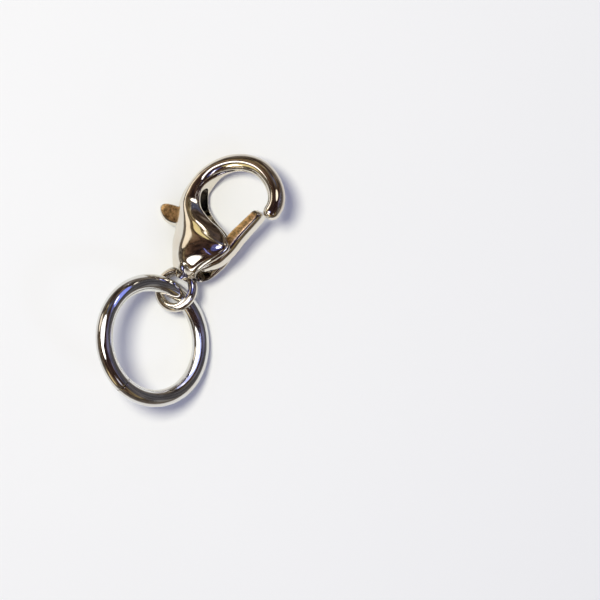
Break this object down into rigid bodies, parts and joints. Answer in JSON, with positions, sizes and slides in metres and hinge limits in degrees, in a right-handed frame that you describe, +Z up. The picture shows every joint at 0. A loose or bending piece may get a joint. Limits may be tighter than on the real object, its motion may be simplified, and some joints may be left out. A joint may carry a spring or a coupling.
{
  "type": "lobster clasp",
  "caption": "Lobster clasp with a sprung lever that closes its hook, lying beside the thick jump ring that passes through its eye.",
  "frame": {"origin": "middle of the whole thing, on the table it lies on", "axes": "+Z up from the table, +Y up the picture from the ring towards the hook, +X to the right of the picture"},
  "size_m": [0.0224, 0.03, 0.0103],
  "materials": {
    "plated_body": "polished nickel plate",
    "plated_lever": "fine-grained nickel plate",
    "plated_ring": "polished nickel plate"
  },
  "bodies": {
    "clasp": {"body": "plated_body", "pin": "plated_body", "ring": "plated_ring"},
    "lever": {"lever": "plated_lever"}
  },
  "joints": [
    {"name": "lever_hinge", "type": "hinge", "parent": "clasp", "child": "lever", "pos_m": [0.00269, 0.00304, 0.00398], "axis": [-0.4167, 0.1828, 0.8905], "range_deg": [0, 20], "stiffness_Nm_per_rad": 0.002, "springref_deg": -17.19}
  ]
}
